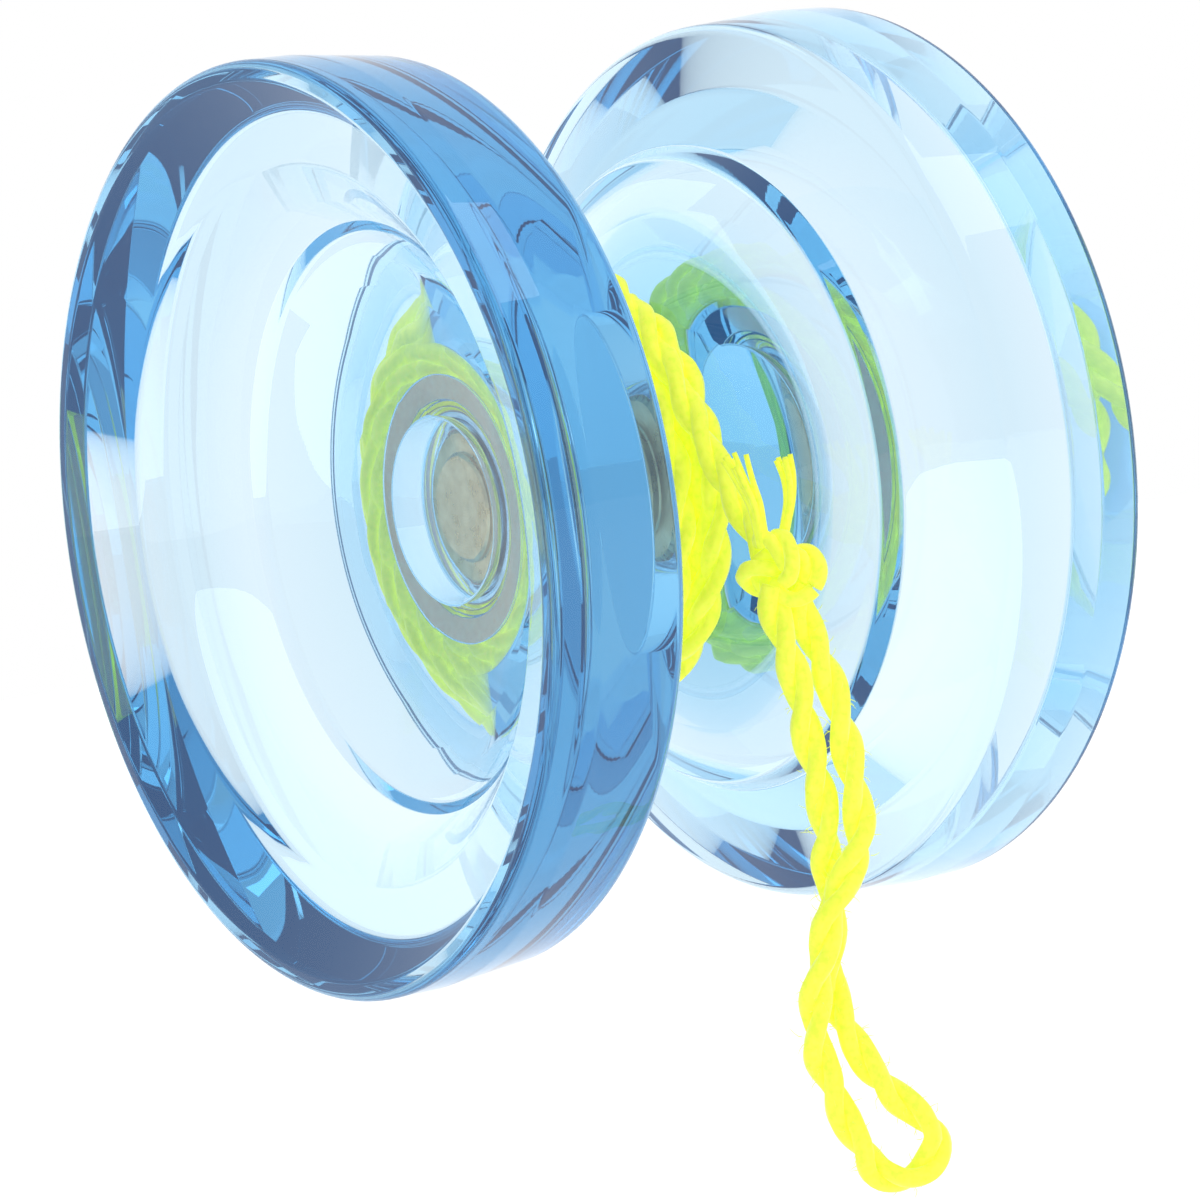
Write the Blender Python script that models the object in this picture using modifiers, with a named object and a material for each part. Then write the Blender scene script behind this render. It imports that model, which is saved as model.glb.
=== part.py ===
"""Ball-bearing yo-yo: two clear halves on a short axle, a steel bearing and a wound string.

Frame: the spin axis is world Y and the origin is the middle of the axle. +Z is up.
The left half is at -Y and the right half at +Y. The free end of the string hangs at +X.
Every length below is in millimetres, and MM turns it into metres.
A turned profile is a list of (radius, height) points, where height is the distance along
the spin axis from the middle plane, and it runs down the outer side from top to bottom.
"""
import math

import bmesh
import bpy
from mathutils import Vector

MM = 0.001
MERGE = 0.00001

# ---------------------------------------------------------------- driving dimensions
HALF_WIDTH = 21.1           # middle plane to the flat land on the lip
GAP_HALF = 2.1              # middle plane to the hub face beside the winding
CUP_FLOOR_HEIGHT = 12.2     # middle plane to the middle of the cup floor

BEARING_OUTER = 6.35        # 12.7 x 6.35 x 4.762 mm bearing
BEARING_BORE = 3.175
BEARING_HALF_WIDTH = 2.381
BALL_RADIUS = 0.794
BALL_PITCH = 4.7625
BALL_COUNT = 8
RACE_GROOVE = 0.86          # cross-section radius of both ball grooves
INNER_LAND = 4.2            # outer radius of the inner ring beside its groove
OUTER_LAND = 5.3            # inner radius of the outer ring beside its groove
SHIELD_SEAT = 5.75          # counterbore that holds a shield and its snap ring

POCKET_RADIUS = 6.55        # clearance pocket for the bearing in a half
POCKET_HEIGHT = 2.75
PAD_INNER = 6.95
PAD_OUTER = 8.8
PAD_DEPTH = 1.2
PAD_CLEARANCE = 0.05

CHAMBER_RADIUS = 5.85       # hollow above the insert, left by the moulding pin
CHAMBER_LOW = 4.2
CHAMBER_HIGH = 6.6

INSERT_RADIUS = 5.0
INSERT_LOW = 3.1
INSERT_HIGH = 4.3
BOSS_RADIUS = 3.4
BOSS_HIGH = 5.1
BORE_END = 4.7
KNURL_DEPTH = 0.16
KNURL_TEETH = 36
SPACER_FLANGE = 4.1
SPACER_POST = 3.1
AXLE_RADIUS = 1.9
AXLE_LENGTH = 9.2
AXLE_BORE = 2.05
FIT_GAP = 0.05              # assembled gap between fitted pieces

COIL_RADIUS = 13.4
COIL_INNER = 6.7
COIL_HALF = 1.75
STRING_DIAMETER = 1.9
TAIL_DIAMETER = 1.0

ARC_STEP = math.radians(18)  # turn between neighbouring points of a fillet
HALF_SEGMENTS = 56
RING_SEGMENTS = 40

# Route of the finger loop in (x, y, z), from the knot down one strand, round the bottom and
# up the other strand. The strands cross in front of each other twice on the way down.
LOOP_ROUTE = [
    (20.2, -1.3, -8.9), (20.4, -0.95, -11.2), (20.3, -0.55, -13.6), (20.15, -0.3, -16.0),
    (20.05, 0.05, -18.6), (20.05, 0.1, -21.0), (19.55, 0.2, -23.2), (19.25, 0.3, -25.6),
    (19.05, 0.0, -27.8), (18.9, -0.25, -30.2), (19.1, -0.2, -32.0), (19.8, 0.05, -33.8),
    (20.5, 0.5, -35.6), (21.2, 1.4, -37.3), (21.95, 2.45, -38.7), (22.35, 3.05, -40.1),
    (22.0, 2.5, -41.6), (21.2, 1.25, -42.2), (20.4, 0.0, -41.6), (20.05, -0.55, -40.1),
    (19.6, -1.2, -38.3), (19.3, -1.6, -36.2), (19.15, -2.05, -34.2), (19.5, -2.25, -32.2),
    (20.0, -2.15, -30.2), (20.4, -1.7, -28.6), (20.8, -1.25, -26.6), (21.35, -0.25, -24.6),
    (21.75, 0.9, -22.8), (21.65, 1.45, -20.9), (21.55, 1.45, -18.7), (21.25, 1.5, -16.0),
    (20.9, 1.4, -13.2), (20.2, 1.15, -10.6), (20.0, 0.75, -8.9),
]
# Route of the lead, from the winding's rim down to the knot.
LEAD_ROUTE = [
    (13.7, 0.0, 5.2), (14.4, 0.0, 2.6), (15.3, -0.05, 0.2), (16.3, -0.1, -1.8), (17.3, -0.2, -3.4),
]
KNOT_CENTRE = (20.0, -0.35, -6.1)
KNOT_RADIUS = 2.35
TAIL_ROUTES = [
    [(20.2, -1.5, -3.3), (20.2, -1.6, -2.1), (19.9, -1.8, -0.8), (19.5, -2.0, 0.8)],
    [(20.65, 0.15, -3.2), (20.9, 0.4, -2.1), (21.0, 0.5, -0.8), (20.9, 0.4, 0.6)],
]


# ---------------------------------------------------------------- scene helpers
def clear_scene():
    for item in list(bpy.data.objects):
        bpy.data.objects.remove(item, do_unlink=True)


def new_collection(name):
    collection = bpy.data.collections.new(name)
    bpy.context.scene.collection.children.link(collection)
    return collection


def material(name, colour, roughness, metallic=0.0, transmission=0.0):
    made = bpy.data.materials.new(name)
    made.use_nodes = True
    shader = made.node_tree.nodes["Principled BSDF"]
    shader.inputs["Base Color"].default_value = (*colour, 1.0)
    shader.inputs["Roughness"].default_value = roughness
    shader.inputs["Metallic"].default_value = metallic
    shader.inputs["Transmission Weight"].default_value = transmission
    made.diffuse_color = (*colour, 1.0)
    return made


def arc(centre_r, centre_h, radius, start, end, count):
    """Points of an arc in the (radius, height) plane, angles in degrees from the +r axis."""
    points = []
    for index in range(count):
        angle = math.radians(start + (end - start) * index / (count - 1))
        points.append((centre_r + radius * math.cos(angle), centre_h + radius * math.sin(angle)))
    return points


def turned(name, profile, segments, finish, closed):
    """A body turned round the spin axis from its profile; its local Z is the axis."""
    mesh = bpy.data.meshes.new(name)
    corners = [(r * MM, 0.0, h * MM) for r, h in profile]
    edges = [(i, i + 1) for i in range(len(corners) - 1)]
    if closed:
        edges.append((len(corners) - 1, 0))
    mesh.from_pydata(corners, edges, [])
    made = bpy.data.objects.new(name, mesh)
    screw = made.modifiers.new("Turn", "SCREW")
    screw.axis = "Z"
    screw.steps = segments
    screw.render_steps = segments
    screw.use_merge_vertices = True
    screw.merge_threshold = MERGE
    screw.use_smooth_shade = True
    mesh.materials.append(finish)
    PARTS.objects.link(made)
    return made


def face_side(item, side):
    """Point a turned body's local +Z along world +Y (side 1) or -Y (side -1)."""
    item.rotation_euler = (-side * math.pi / 2, 0.0, 0.0)
    return item


def smooth_route(points, spacing):
    """A smooth curve through the route's points (Catmull-Rom), resampled at even spacing."""
    route = [Vector(point) for point in points]
    padded = [2 * route[0] - route[1]] + route + [2 * route[-1] - route[-2]]
    fine = []
    for index in range(1, len(padded) - 2):
        before, start, end, after = padded[index - 1:index + 3]
        for step in range(20):
            t = step / 20
            fine.append(0.5 * (2 * start + (end - before) * t
                               + (2 * before - 5 * start + 4 * end - after) * t ** 2
                               + (3 * start - before - 3 * end + after) * t ** 3))
    fine.append(route[-1])
    lengths = [0.0]
    for first, second in zip(fine, fine[1:]):
        lengths.append(lengths[-1] + (second - first).length)
    count = max(2, round(lengths[-1] / spacing) + 1)
    even = []
    index = 0
    for step in range(count):
        target = lengths[-1] * step / (count - 1)
        while index < len(lengths) - 2 and lengths[index + 1] < target:
            index += 1
        part = (target - lengths[index]) / (lengths[index + 1] - lengths[index])
        even.append(fine[index].lerp(fine[index + 1], part))
    return even


def string_tube(name, points, diameter, spacing, finish):
    """A round length of string along a route, with filled caps."""
    curve = bpy.data.curves.new(name, "CURVE")
    curve.dimensions = "3D"
    route = smooth_route(points, spacing)
    spline = curve.splines.new("POLY")
    spline.points.add(len(route) - 1)
    for point, place in zip(spline.points, route):
        point.co = (*(place * MM), 1.0)
    curve.bevel_depth = diameter / 2 * MM
    curve.bevel_resolution = 2
    curve.use_fill_caps = True
    curve.materials.append(finish)
    made = bpy.data.objects.new(name, curve)
    PARTS.objects.link(made)
    return made


def cut(item, cutter):
    """Take the cutter's volume away from an object."""
    boolean = item.modifiers.new("Cut", "BOOLEAN")
    boolean.operation = "DIFFERENCE"
    boolean.solver = "EXACT"
    boolean.object = cutter
    cutter.hide_render = True
    cutter.display_type = "WIRE"


# ---------------------------------------------------------------- body halves
def rounded(corners):
    """An outline through (radius, height, fillet) corners, with an arc at each fillet."""
    points = []
    for index, (r, h, fillet) in enumerate(corners):
        corner = Vector((r, h))
        if fillet == 0:
            points.append((r, h))
            continue
        to_last = (Vector(corners[index - 1][:2]) - corner).normalized()
        to_next = (Vector(corners[index + 1][:2]) - corner).normalized()
        turn = math.pi - to_last.angle(to_next)
        reach = fillet * math.tan(turn / 2)
        centre = corner + (to_last + to_next).normalized() * (fillet / math.cos(turn / 2))
        first = corner + to_last * reach - centre
        last = corner + to_next * reach - centre
        steps = max(1, round(turn / ARC_STEP))
        for step in range(steps + 1):
            share = step / steps
            arm = first * math.sin((1 - share) * turn) + last * math.sin(share * turn)
            points.append(tuple(centre + arm / math.sin(turn)))
    return points


def half_profile():
    """Section of one half, from the middle of the cup out over the rim to the axle pocket."""
    cup = [(0.0, CUP_FLOOR_HEIGHT, 0), (10.5, CUP_FLOOR_HEIGHT, 23.5), (17.8, 14.5, 8.0)]
    lip = [(21.75, 18.6, 1.8), (26.75, HALF_WIDTH, 0.6), (27.95, HALF_WIDTH, 0.6)]
    rim = [(28.0, 18.0, 3.0), (27.5, 12.0, 1.0)]
    flank = [(20.3, 9.3, 0.3), (19.6, 8.0, 1.0), (10.5, GAP_HALF, 2.7)]
    pad_groove = [
        (PAD_OUTER, GAP_HALF, 0),
        (PAD_OUTER, GAP_HALF + PAD_DEPTH, 0),
        (PAD_INNER, GAP_HALF + PAD_DEPTH, 0),
        (PAD_INNER, GAP_HALF, 0),
    ]
    pocket = [
        (POCKET_RADIUS, GAP_HALF, 0),
        (POCKET_RADIUS, POCKET_HEIGHT, 0),
        (INSERT_RADIUS + FIT_GAP, POCKET_HEIGHT, 0),
        (INSERT_RADIUS + FIT_GAP, CHAMBER_LOW, 0),
        (CHAMBER_RADIUS, CHAMBER_LOW, 0),
        (CHAMBER_RADIUS, CHAMBER_HIGH, 0),
        (0.0, CHAMBER_HIGH, 0),
    ]
    return rounded(cup + lip + rim + flank + pad_groove + pocket)


def make_half(name, side):
    finish = material("clear_blue_polycarbonate_" + name, (0.45, 0.70, 0.92), 0.05, 0.0, 0.9)
    return face_side(turned(name, half_profile(), HALF_SEGMENTS, finish, False), side)


def make_pad(name, side):
    profile = [
        (PAD_INNER + PAD_CLEARANCE, GAP_HALF + 0.1),
        (PAD_INNER + PAD_CLEARANCE, GAP_HALF + PAD_DEPTH - PAD_CLEARANCE),
        (PAD_OUTER - PAD_CLEARANCE, GAP_HALF + PAD_DEPTH - PAD_CLEARANCE),
        (PAD_OUTER - PAD_CLEARANCE, GAP_HALF + 0.1),
    ]
    finish = material("tan_silicone_" + name, (0.62, 0.40, 0.24), 0.55)
    return face_side(turned(name, profile, HALF_SEGMENTS, finish, True), side)


# ---------------------------------------------------------------- axle parts
def make_insert(name, side):
    """Round brass insert: knurled side, a blind bore for the axle and a boss on its outer end."""
    count = 2 * KNURL_TEETH
    mesh = bpy.data.meshes.new(name)
    shape = bmesh.new()
    rings = [[shape.verts.new((0.0, 0.0, BOSS_HIGH * MM))]]
    for radius, height, knurl in (
        (BOSS_RADIUS, BOSS_HIGH, 0.0),
        (BOSS_RADIUS, INSERT_HIGH, 0.0),
        (INSERT_RADIUS, INSERT_HIGH, KNURL_DEPTH),
        (INSERT_RADIUS, INSERT_LOW, KNURL_DEPTH),
        (AXLE_BORE, INSERT_LOW, 0.0),
        (AXLE_BORE, BORE_END, 0.0),
    ):
        ring = []
        for index in range(count):
            angle = 2 * math.pi * index / count
            r = (radius - knurl * (index % 2)) * MM
            ring.append(shape.verts.new((r * math.cos(angle), r * math.sin(angle), height * MM)))
        rings.append(ring)
    rings.append([shape.verts.new((0.0, 0.0, BORE_END * MM))])
    for upper, lower in zip(rings, rings[1:]):
        for index in range(count):
            after = (index + 1) % count
            corners = [upper[index % len(upper)], lower[index % len(lower)],
                       lower[after % len(lower)], upper[after % len(upper)]]
            shape.faces.new(dict.fromkeys(corners))
    bmesh.ops.recalc_face_normals(shape, faces=shape.faces)
    shape.to_mesh(mesh)
    shape.free()
    mesh.materials.append(material("brass_" + name, (0.80, 0.56, 0.30), 0.3, 1.0))
    made = bpy.data.objects.new(name, mesh)
    PARTS.objects.link(made)
    return face_side(made, side)


def make_spacer(name, side):
    post_low = 0.3
    flange_low = BEARING_HALF_WIDTH + FIT_GAP
    flange_high = INSERT_LOW - FIT_GAP
    profile = [
        (AXLE_BORE, flange_high),
        (SPACER_FLANGE, flange_high),
        (SPACER_FLANGE, flange_low),
        (SPACER_POST, flange_low),
        (SPACER_POST, post_low),
        (AXLE_BORE, post_low),
    ]
    finish = material("aluminium_" + name, (0.75, 0.76, 0.78), 0.3, 1.0)
    return face_side(turned(name, profile, RING_SEGMENTS, finish, True), side)


def make_axle():
    half_length = AXLE_LENGTH / 2
    profile = [
        (0.0, half_length),
        (AXLE_RADIUS - 0.3, half_length),
        (AXLE_RADIUS, half_length - 0.4),
        (AXLE_RADIUS, 0.4 - half_length),
        (AXLE_RADIUS - 0.3, -half_length),
        (0.0, -half_length),
    ]
    finish = material("steel_axle", (0.42, 0.43, 0.45), 0.35, 1.0)
    return face_side(turned("axle", profile, RING_SEGMENTS // 2, finish, False), 1)


def move_to(item, collection):
    for owner in list(item.users_collection):
        owner.objects.unlink(item)
    collection.objects.link(item)


# ---------------------------------------------------------------- bearing
def make_inner_ring():
    groove_half = math.degrees(math.acos((BALL_PITCH - INNER_LAND) / RACE_GROOVE))
    groove = arc(BALL_PITCH, 0.0, RACE_GROOVE, 180 - groove_half, 180 + groove_half, 5)
    profile = [
        (BEARING_BORE, BEARING_HALF_WIDTH),
        (INNER_LAND, BEARING_HALF_WIDTH),
        *groove,
        (INNER_LAND, -BEARING_HALF_WIDTH),
        (BEARING_BORE, -BEARING_HALF_WIDTH),
    ]
    finish = material("steel_inner_ring", (0.72, 0.73, 0.75), 0.2, 1.0)
    return face_side(turned("bearing_inner_ring", profile, RING_SEGMENTS, finish, True), 1)


def make_outer_ring():
    groove_half = math.degrees(math.acos((OUTER_LAND - BALL_PITCH) / RACE_GROOVE))
    groove = arc(BALL_PITCH, 0.0, RACE_GROOVE, -groove_half, groove_half, 5)
    seat_low = 1.7
    chamfer = 0.3
    profile = [
        (SHIELD_SEAT, BEARING_HALF_WIDTH),
        (BEARING_OUTER - chamfer, BEARING_HALF_WIDTH),
        (BEARING_OUTER, BEARING_HALF_WIDTH - chamfer),
        (BEARING_OUTER, chamfer - BEARING_HALF_WIDTH),
        (BEARING_OUTER - chamfer, -BEARING_HALF_WIDTH),
        (SHIELD_SEAT, -BEARING_HALF_WIDTH),
        (SHIELD_SEAT, -seat_low),
        (OUTER_LAND, -seat_low),
        *groove,
        (OUTER_LAND, seat_low),
        (SHIELD_SEAT, seat_low),
    ]
    finish = material("steel_outer_ring", (0.72, 0.73, 0.75), 0.2, 1.0)
    return face_side(turned("bearing_outer_ring", profile, RING_SEGMENTS, finish, True), 1)


def make_cage():
    """Flat ring round the ball circle, bored through radially at each ball."""
    inner, outer, half_width = 4.35, 5.15, 1.2
    profile = [(inner, half_width), (outer, half_width), (outer, -half_width), (inner, -half_width)]
    finish = material("cage_polyamide", (0.80, 0.78, 0.70), 0.5)
    cage = face_side(turned("bearing_cage", profile, RING_SEGMENTS, finish, True), 1)
    for index in range(BALL_COUNT):
        angle = 2 * math.pi * index / BALL_COUNT
        outward = Vector((math.cos(angle), 0.0, math.sin(angle)))
        bpy.ops.mesh.primitive_cylinder_add(vertices=16, radius=(BALL_RADIUS + 0.11) * MM,
                                            depth=2.0 * MM)
        pocket = bpy.context.object
        pocket.name = f"cage_pocket_{index + 1}"
        pocket.rotation_mode = "QUATERNION"
        pocket.rotation_quaternion = outward.to_track_quat("Z", "Y")
        pocket.location = outward * BALL_PITCH * MM
        move_to(pocket, CUTTERS)
        cut(cage, pocket)
    return cage


def make_balls():
    finish = material("steel_ball", (0.78, 0.79, 0.81), 0.1, 1.0)
    mesh = bpy.data.meshes.new("bearing_ball")
    shape = bmesh.new()
    bmesh.ops.create_uvsphere(shape, u_segments=12, v_segments=8, radius=BALL_RADIUS * MM)
    shape.to_mesh(mesh)
    shape.free()
    mesh.shade_smooth()
    mesh.materials.append(finish)
    for index in range(BALL_COUNT):
        angle = 2 * math.pi * index / BALL_COUNT
        ball = bpy.data.objects.new(f"bearing_ball_{index + 1}", mesh)
        ball.location = (BALL_PITCH * math.cos(angle) * MM, 0.0, BALL_PITCH * math.sin(angle) * MM)
        PARTS.objects.link(ball)


def make_shield(name, side):
    low, high = 1.76, 1.92
    profile = [(INNER_LAND + 0.15, high), (SHIELD_SEAT - FIT_GAP, high),
               (SHIELD_SEAT - FIT_GAP, low), (INNER_LAND + 0.15, low)]
    finish = material("steel_" + name, (0.70, 0.71, 0.73), 0.25, 1.0)
    return face_side(turned(name, profile, RING_SEGMENTS, finish, True), side)


def make_snap_ring(name, side):
    """An open spring wire that holds a shield in its seat."""
    wire = 0.11
    gap = math.radians(24)
    steps = 28
    curve = bpy.data.curves.new(name, "CURVE")
    curve.dimensions = "3D"
    spline = curve.splines.new("POLY")
    spline.points.add(steps)
    radius = SHIELD_SEAT - FIT_GAP - wire
    for index, point in enumerate(spline.points):
        angle = gap / 2 + (2 * math.pi - gap) * index / steps
        point.co = (radius * math.cos(angle) * MM, radius * math.sin(angle) * MM, 2.1 * MM, 1.0)
    curve.bevel_depth = wire * MM
    curve.bevel_resolution = 1
    curve.use_fill_caps = True
    curve.materials.append(material("spring_steel_" + name, (0.60, 0.61, 0.63), 0.25, 1.0))
    made = bpy.data.objects.new(name, curve)
    PARTS.objects.link(made)
    return face_side(made, side)


# ---------------------------------------------------------------- string
def make_string():
    yarn = material("fluorescent_yellow_polyester", (0.80, 1.0, 0.05), 0.8)
    round_edge = 0.6
    profile = [
        (COIL_INNER, COIL_HALF),
        *arc(COIL_RADIUS - round_edge, COIL_HALF - round_edge, round_edge, 90, 0, 3),
        *arc(COIL_RADIUS - round_edge, round_edge - COIL_HALF, round_edge, 0, -90, 3),
        (COIL_INNER, -COIL_HALF),
    ]
    face_side(turned("string_coil", profile, HALF_SEGMENTS, yarn, True), 1)
    string_tube("string_lead", LEAD_ROUTE, STRING_DIAMETER, STRING_DIAMETER, yarn)
    string_tube("finger_loop", LOOP_ROUTE, STRING_DIAMETER, STRING_DIAMETER, yarn)
    for index, route in enumerate(TAIL_ROUTES):
        string_tube(f"string_tail_{index + 1}", route, TAIL_DIAMETER, TAIL_DIAMETER, yarn)
    make_knot(yarn)


def make_knot(yarn):
    """The overhand knot as a rounded lump between the lead and the loop."""
    mesh = bpy.data.meshes.new("string_knot")
    shape = bmesh.new()
    bmesh.ops.create_uvsphere(shape, u_segments=16, v_segments=10, radius=1.0)
    for vertex in shape.verts:
        vertex.co *= KNOT_RADIUS * MM
    shape.to_mesh(mesh)
    shape.free()
    mesh.shade_smooth()
    mesh.materials.append(yarn)
    knot = bpy.data.objects.new("string_knot", mesh)
    knot.location = Vector(KNOT_CENTRE) * MM
    PARTS.objects.link(knot)


# ---------------------------------------------------------------- build
clear_scene()
PARTS = new_collection("ball_bearing_yoyo")
CUTTERS = new_collection("cutters")

make_axle()
make_inner_ring()
make_outer_ring()
make_cage()
make_balls()
for side_name, side_sign in (("left", -1), ("right", 1)):
    make_half("half_" + side_name, side_sign)
    make_pad("response_pad_" + side_name, side_sign)
    make_insert("insert_" + side_name, side_sign)
    make_spacer("spacer_" + side_name, side_sign)
    make_shield("bearing_shield_" + side_name, side_sign)
    make_snap_ring("snap_ring_" + side_name, side_sign)
make_string()
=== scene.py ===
"""Looks for the ball-bearing yo-yo: clear tinted halves, turned metal parts and twisted string.

World frame as in the CAD: the spin axis is Y, +Z is up, the origin is the middle of the axle.
Profiles are lists of (radius, height, fillet) in millimetres, where height is the distance
along the spin axis from the middle plane. MM turns millimetres into metres.
"""

import math
import random

import bpy
import numpy as np
from mathutils import Matrix, Vector


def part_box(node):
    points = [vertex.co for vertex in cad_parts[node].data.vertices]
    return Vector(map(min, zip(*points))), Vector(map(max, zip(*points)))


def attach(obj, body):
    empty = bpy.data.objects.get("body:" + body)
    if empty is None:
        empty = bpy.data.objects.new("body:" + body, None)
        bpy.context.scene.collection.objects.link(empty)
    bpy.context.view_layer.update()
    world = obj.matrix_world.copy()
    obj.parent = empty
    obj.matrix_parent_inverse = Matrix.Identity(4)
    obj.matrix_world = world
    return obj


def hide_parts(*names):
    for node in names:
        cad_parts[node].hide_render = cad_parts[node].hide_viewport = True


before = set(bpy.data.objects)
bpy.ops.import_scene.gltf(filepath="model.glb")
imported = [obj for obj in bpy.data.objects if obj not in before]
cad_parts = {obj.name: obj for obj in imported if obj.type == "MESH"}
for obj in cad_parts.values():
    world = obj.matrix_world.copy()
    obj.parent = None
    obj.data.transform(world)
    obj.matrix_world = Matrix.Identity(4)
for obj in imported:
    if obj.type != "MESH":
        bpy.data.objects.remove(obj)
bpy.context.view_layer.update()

MM = 0.001
TAU = 2 * math.pi
Y_AXIS = np.array([0.0, 1.0, 0.0])

# ---------------------------------------------------------------- dimensions of the CAD parts
HALF_WIDTH = 21.1           # middle plane to the flat land on the lip
GAP_HALF = 2.1              # middle plane to the hub face beside the winding
CUP_FLOOR_HEIGHT = 12.2     # middle plane to the middle of the cup floor
PAD_INNER = 6.95
PAD_OUTER = 8.8
PAD_DEPTH = 1.2
POCKET_RADIUS = 6.55
POCKET_HEIGHT = 2.75
INSERT_RADIUS = 5.0
INSERT_LOW = 3.1
INSERT_HIGH = 4.3
BOSS_RADIUS = 3.4
BOSS_HIGH = 5.1
BORE_END = 4.7
AXLE_RADIUS = 1.9
AXLE_HALF = 4.6
AXLE_BORE = 2.05            # hole for the axle in the inserts and spacers
SPACER_FLANGE = 4.1
SPACER_POST = 3.1
SPACER_LOW = 0.3
CHAMBER_RADIUS = 5.85
CHAMBER_LOW = 4.2
CHAMBER_HIGH = 6.6
FIT_GAP = 0.05              # assembled gap between fitted pieces
BEARING_HALF_WIDTH = 2.381
BEARING_OUTER = 6.35
BEARING_BORE = 3.175
BALL_RADIUS = 0.794
BALL_PITCH = 4.7625
BALL_COUNT = 8
RACE_GROOVE = 0.86          # cross-section radius of both ball grooves
INNER_LAND = 4.2            # outer radius of the inner ring beside its groove
OUTER_LAND = 5.3            # inner radius of the outer ring beside its groove
SHIELD_SEAT = 5.75          # counterbore that holds a shield and its snap ring
SHIELD_LOW = 1.76
SHIELD_HIGH = 1.92
STRING_DIAMETER = 1.9


# ---------------------------------------------------------------- camera
def make_camera():
    """The photograph's view: 56 degrees round from the spin axis, nearly level, tilted sideways."""
    azimuth = math.radians(56.1)
    elevation = math.radians(2.2)
    roll = math.radians(-8.44)
    distance = 0.2872
    aside = 0.00126
    above = -0.0068
    back = Vector((math.sin(azimuth) * math.cos(elevation),
                   -math.cos(azimuth) * math.cos(elevation), math.sin(elevation)))
    level = Vector((math.cos(azimuth), math.sin(azimuth), 0.0))
    plumb = back.cross(level)
    right = level * math.cos(roll) + plumb * math.sin(roll)
    up = plumb * math.cos(roll) - level * math.sin(roll)
    data = bpy.data.cameras.new("camera")
    data.sensor_width = 36.0
    data.lens = 140.26
    data.clip_start = 0.01
    camera = bpy.data.objects.new("camera", data)
    bpy.context.scene.collection.objects.link(camera)
    pose = Matrix((right, up, back)).transposed().to_4x4()
    pose.translation = back * distance + right * aside + up * above
    camera.matrix_world = pose
    bpy.context.scene.camera = camera
    return back, level


# ---------------------------------------------------------------- materials
def shader_material(name, **values):
    """A new Principled material; a keyword is a socket's name with _ for each space."""
    made = bpy.data.materials.new(name)
    made.use_nodes = True
    shader = made.node_tree.nodes["Principled BSDF"]
    for key, value in values.items():
        socket = shader.inputs[key.replace("_", " ")]
        socket.default_value = (*value, 1.0) if isinstance(value, tuple) and len(value) == 3 else value
    return made


def add_node(material, kind, **settings):
    """A new node; a keyword sets the input of that name, or else the node's own setting."""
    node = material.node_tree.nodes.new(kind)
    for key, value in settings.items():
        if key in node.inputs:
            node.inputs[key].default_value = value
        else:
            setattr(node, key, value)
    return node


def link(material, source, target):
    material.node_tree.links.new(source, target)


def noise(material, scale, detail=4.0):
    """Noise fixed to the piece; scale is in grains to the metre."""
    coordinates = add_node(material, "ShaderNodeTexCoord")
    pattern = add_node(material, "ShaderNodeTexNoise", Scale=scale, Detail=detail)
    link(material, coordinates.outputs["Object"], pattern.inputs["Vector"])
    return pattern


def colour_between(material, factor, first, second):
    """Lets the base colour wander between two colours as factor changes."""
    ramp = add_node(material, "ShaderNodeValToRGB")
    ramp.color_ramp.elements[0].color = (*first, 1.0)
    ramp.color_ramp.elements[1].color = (*second, 1.0)
    ramp.color_ramp.elements[0].position = 0.3
    ramp.color_ramp.elements[1].position = 0.7
    link(material, factor, ramp.inputs["Fac"])
    shader = material.node_tree.nodes["Principled BSDF"]
    link(material, ramp.outputs["Color"], shader.inputs["Base Color"])


def vary_roughness(material, factor, low, high):
    spread = add_node(material, "ShaderNodeMapRange")
    spread.inputs["To Min"].default_value = low
    spread.inputs["To Max"].default_value = high
    link(material, factor, spread.inputs["Value"])
    shader = material.node_tree.nodes["Principled BSDF"]
    link(material, spread.outputs["Result"], shader.inputs["Roughness"])


def bump(material, height, strength, distance):
    made = add_node(material, "ShaderNodeBump", Strength=strength, Distance=distance)
    link(material, height, made.inputs["Height"])
    shader = material.node_tree.nodes["Principled BSDF"]
    link(material, made.outputs["Normal"], shader.inputs["Normal"])


def clear_polycarbonate():
    """Clear tinted plastic: the colour is in the volume, so thick places are deeper blue.

    A faint blue glow stands for the light that the plastic scatters inside itself.
    """
    made = shader_material("tinted_clear_plastic", Base_Color=(1.0, 1.0, 1.0), Roughness=0.0,
                           IOR=1.585, Transmission_Weight=1.0, Emission_Strength=0.05)
    shader = made.node_tree.nodes["Principled BSDF"]
    shader.inputs["Emission Color"].default_value = (0.05, 0.32, 0.75, 1.0)
    volume = add_node(made, "ShaderNodeVolumeAbsorption", Density=58.0)
    volume.inputs["Color"].default_value = (0.25, 0.68, 0.85, 1.0)
    link(made, volume.outputs["Volume"], made.node_tree.nodes["Material Output"].inputs["Volume"])
    flow = noise(made, 60.0, 2.0)
    vary_roughness(made, flow.outputs["Fac"], 0.0, 0.02)
    bump(made, flow.outputs["Fac"], 0.05, 0.0002)
    return made


def turned_metal(name, dark, light, roughness):
    """Metal with the fine rings a lathe leaves, centred on the spin axis."""
    made = shader_material(name, Metallic=1.0, Roughness=roughness)
    coordinates = add_node(made, "ShaderNodeTexCoord")
    rings = add_node(made, "ShaderNodeTexWave", wave_type="RINGS", rings_direction="Y",
                     Scale=1500.0, Distortion=0.6, Detail=2.0)
    link(made, coordinates.outputs["Object"], rings.inputs["Vector"])
    tone = noise(made, 900.0)
    colour_between(made, tone.outputs["Fac"], dark, light)
    vary_roughness(made, tone.outputs["Fac"], roughness * 0.7, roughness * 1.4)
    bump(made, rings.outputs["Fac"], 0.25, 0.00002)
    return made


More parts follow.
